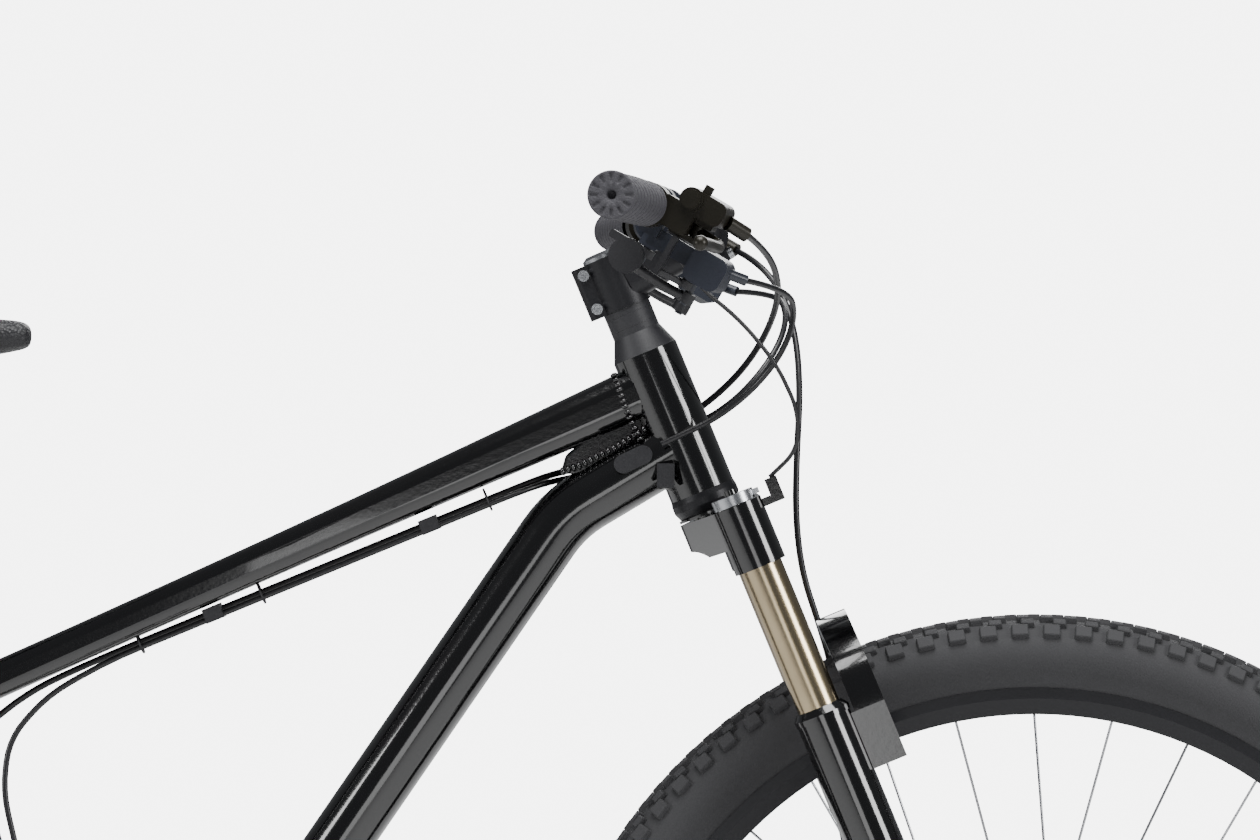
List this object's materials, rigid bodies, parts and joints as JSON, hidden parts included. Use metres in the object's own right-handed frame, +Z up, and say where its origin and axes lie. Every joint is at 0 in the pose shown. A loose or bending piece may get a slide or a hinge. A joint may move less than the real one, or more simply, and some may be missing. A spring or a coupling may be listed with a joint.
{
  "type": "mountain bike",
  "caption": "Hardtail mountain bike with a suspension fork, flat riser bar, disc brakes, chain drive, knobbly tyres and a turning steering assembly.",
  "frame": {"origin": "on the ground under the bike's middle, on its mid-plane: the centre of the bottom of its box", "axes": "+X forward, +Y to the rider's left, +Z up"},
  "size_m": [1.889, 0.7118, 1.0559],
  "materials": {
    "gloss_black": "gloss black paint",
    "satin_black": "satin black anodised aluminium",
    "nickel": "polished champagne nickel plating",
    "steel": "bright steel",
    "rubber": "moulded dark grey rubber",
    "tyre": "charcoal tyre rubber",
    "black_plastic": "moulded matt black plastic",
    "hose": "satin black hose sheath",
    "saddle_cover": "black synthetic leather over foam"
  },
  "bodies": {
    "frame": {"frame_main": "gloss_black", "frame_stays": "gloss_black", "headset": "satin_black", "bottom_bracket": "satin_black", "cable_fittings": "rubber", "seat_clamp": "satin_black", "rear_caliper": "satin_black", "rear_axle": "steel", "derailleur_body": "black_plastic", "front_derailleur_body": "black_plastic", "chain": "steel", "frame_hoses": "hose"},
    "steering": {"fork_crown": "gloss_black", "stanchions": "nickel", "headset_spacers": "satin_black", "stem": "satin_black", "stem_faceplate": "satin_black", "cockpit_bolts": "steel", "handlebar": "satin_black", "grips": "rubber", "brake_bodies": "satin_black", "shifter_pods": "black_plastic", "front_brake_hose": "hose", "control_cables": "hose", "lockout_cable": "hose"},
    "fork_slider": {"fork_lowers": "gloss_black", "front_caliper": "satin_black", "front_axle": "steel"},
    "front_wheel": {"front_tyre": "tyre", "front_rim": "satin_black", "front_spokes": "steel", "front_hub": "satin_black", "front_rotor": "steel"},
    "rear_wheel": {"rear_tyre": "tyre", "rear_rim": "satin_black", "rear_spokes": "steel", "rear_hub": "satin_black", "rear_rotor": "steel"},
    "crankset": {"crank_arms": "satin_black", "chainrings": "steel"},
    "cassette_cogs": {"cassette": "steel"},
    "saddle_post": {"seatpost": "satin_black", "saddle_rails": "steel", "saddle": "saddle_cover"},
    "left_brake_blade": {"brake_lever_left": "satin_black"},
    "right_brake_blade": {"brake_lever_right": "satin_black"},
    "left_thumb": {"left_thumb_lever": "black_plastic"},
    "right_thumb": {"right_thumb_lever": "black_plastic"},
    "left_release": {"left_release_lever": "black_plastic"},
    "right_release": {"right_release_lever": "black_plastic"},
    "lockout_switch": {"lockout_lever": "black_plastic"},
    "lockout_top": {"lockout_spool": "steel"},
    "front_clamp_lever": {"front_qr_lever": "steel"},
    "rear_clamp_lever": {"rear_qr_lever": "steel"},
    "guide_pulley": {"upper_pulley": "black_plastic"},
    "tension_pulley": {"lower_pulley": "black_plastic"},
    "rear_cage": {"derailleur_cage": "black_plastic"},
    "front_cage": {"front_derailleur_cage": "black_plastic"},
    "left_pedal": {"pedal_left": "black_plastic"},
    "right_pedal": {"pedal_right": "black_plastic"}
  },
  "joints": [
    {"name": "steering_turn", "type": "hinge", "parent": "frame", "child": "steering", "pos_m": [0.33371, 0, 0.81779], "axis": [-0.3819, 0, 0.9242], "range_deg": [-60, 60], "deforming": ["control_cables", "frame_hoses"]},
    {"name": "fork_travel", "type": "slide", "parent": "steering", "child": "fork_slider", "axis": [-0.3819, 0, 0.9242], "range_m": [0, 0.1], "stiffness_N_per_m": 8000, "deforming": ["front_brake_hose"]},
    {"name": "front_wheel_spin", "type": "hinge", "parent": "fork_slider", "child": "front_wheel", "pos_m": [0.5735, 0, 0.371], "axis": [0, 1, 0], "continuous": true},
    {"name": "rear_wheel_spin", "type": "hinge", "parent": "frame", "child": "rear_wheel", "pos_m": [-0.5735, 0, 0.371], "axis": [0, 1, 0], "continuous": true},
    {"name": "crank_spin", "type": "hinge", "parent": "frame", "child": "crankset", "pos_m": [-0.13256, 0, 0.311], "axis": [0, 1, 0], "continuous": true, "deforming": ["chain"]},
    {"name": "cassette_spin", "type": "hinge", "parent": "frame", "child": "cassette_cogs", "pos_m": [-0.5735, 0, 0.371], "axis": [0, 1, 0], "continuous": true},
    {"name": "left_pedal_spin", "type": "hinge", "parent": "crankset", "child": "left_pedal", "pos_m": [-0.30506, 0.136, 0.311], "axis": [0, 1, 0], "continuous": true},
    {"name": "right_pedal_spin", "type": "hinge", "parent": "crankset", "child": "right_pedal", "pos_m": [0.03994, -0.136, 0.311], "axis": [0, 1, 0], "continuous": true},
    {"name": "cage_tension", "type": "hinge", "parent": "frame", "child": "rear_cage", "pos_m": [-0.5635, 0, 0.297], "axis": [0, 1, 0], "range_deg": [-22, 30], "stiffness_Nm_per_rad": 0.6, "deforming": ["chain"]},
    {"name": "guide_pulley_spin", "type": "hinge", "parent": "rear_cage", "child": "guide_pulley", "pos_m": [-0.5545, 0, 0.288], "axis": [0, 1, 0], "continuous": true},
    {"name": "tension_pulley_spin", "type": "hinge", "parent": "rear_cage", "child": "tension_pulley", "pos_m": [-0.52974, 0, 0.19732], "axis": [0, 1, 0], "continuous": true},
    {"name": "front_shift", "type": "hinge", "parent": "frame", "child": "front_cage", "pos_m": [-0.16292, -0.042, 0.43573], "axis": [1, 0, 0], "range_deg": [0, 11], "stiffness_Nm_per_rad": 2},
    {"name": "front_clamp_swing", "type": "hinge", "parent": "fork_slider", "child": "front_clamp_lever", "pos_m": [0.5735, 0.0777, 0.371], "axis": [-1, 0, 0], "range_deg": [0, 110]},
    {"name": "rear_clamp_swing", "type": "hinge", "parent": "frame", "child": "rear_clamp_lever", "pos_m": [-0.5735, 0.0882, 0.371], "axis": [-1, 0, 0], "range_deg": [0, 110]},
    {"name": "seat_height", "type": "slide", "parent": "frame", "child": "saddle_post", "axis": [-0.284, 0, 0.9588], "range_m": [-0.14, 0.04]},
    {"name": "left_brake_squeeze", "type": "hinge", "parent": "steering", "child": "left_brake_blade", "pos_m": [0.32176, 0.19174, 1.01858], "axis": [0.4984, 0.0807, 0.8632], "range_deg": [0, 15], "stiffness_Nm_per_rad": 4},
    {"name": "left_thumb_push", "type": "hinge", "parent": "steering", "child": "left_thumb", "pos_m": [0.31355, 0.1662, 0.97358], "axis": [0.4984, 0.0807, 0.8632], "range_deg": [-22, 0], "stiffness_Nm_per_rad": 1.5},
    {"name": "left_release_pull", "type": "hinge", "parent": "steering", "child": "left_release", "pos_m": [0.31198, 0.18416, 0.98207], "axis": [0.4984, 0.0807, 0.8632], "range_deg": [0, 12], "stiffness_Nm_per_rad": 1},
    {"name": "right_brake_squeeze", "type": "hinge", "parent": "steering", "child": "right_brake_blade", "pos_m": [0.32176, -0.19174, 1.01858], "axis": [0.4984, -0.0807, 0.8632], "range_deg": [-15, 0], "stiffness_Nm_per_rad": 4},
    {"name": "right_thumb_push", "type": "hinge", "parent": "steering", "child": "right_thumb", "pos_m": [0.31355, -0.1662, 0.97358], "axis": [0.4984, -0.0807, 0.8632], "range_deg": [0, 22], "stiffness_Nm_per_rad": 1.5},
    {"name": "right_release_pull", "type": "hinge", "parent": "steering", "child": "right_release", "pos_m": [0.31198, -0.18416, 0.98207], "axis": [0.4984, -0.0807, 0.8632], "range_deg": [-12, 0], "stiffness_Nm_per_rad": 1},
    {"name": "lockout_switch_turn", "type": "hinge", "parent": "steering", "child": "lockout_switch", "pos_m": [0.28455, -0.12769, 1.00667], "axis": [0.4984, -0.0807, 0.8632], "range_deg": [-30, 0]},
    {"name": "lockout_top_turn", "type": "hinge", "parent": "steering", "child": "lockout_top", "pos_m": [0.35034, -0.065, 0.82466], "axis": [-0.3819, 0, 0.9242], "range_deg": [0, 75]}
  ],
  "couplings": [
    {"joint": "cassette_spin", "follows": "crank_spin", "ratio": 2.1176},
    {"joint": "tension_pulley_spin", "follows": "crank_spin", "ratio": 3.2727},
    {"joint": "guide_pulley_spin", "follows": "crank_spin", "ratio": -3.2727},
    {"joint": "lockout_top_turn", "follows": "lockout_switch_turn", "ratio": -2.5}
  ]
}
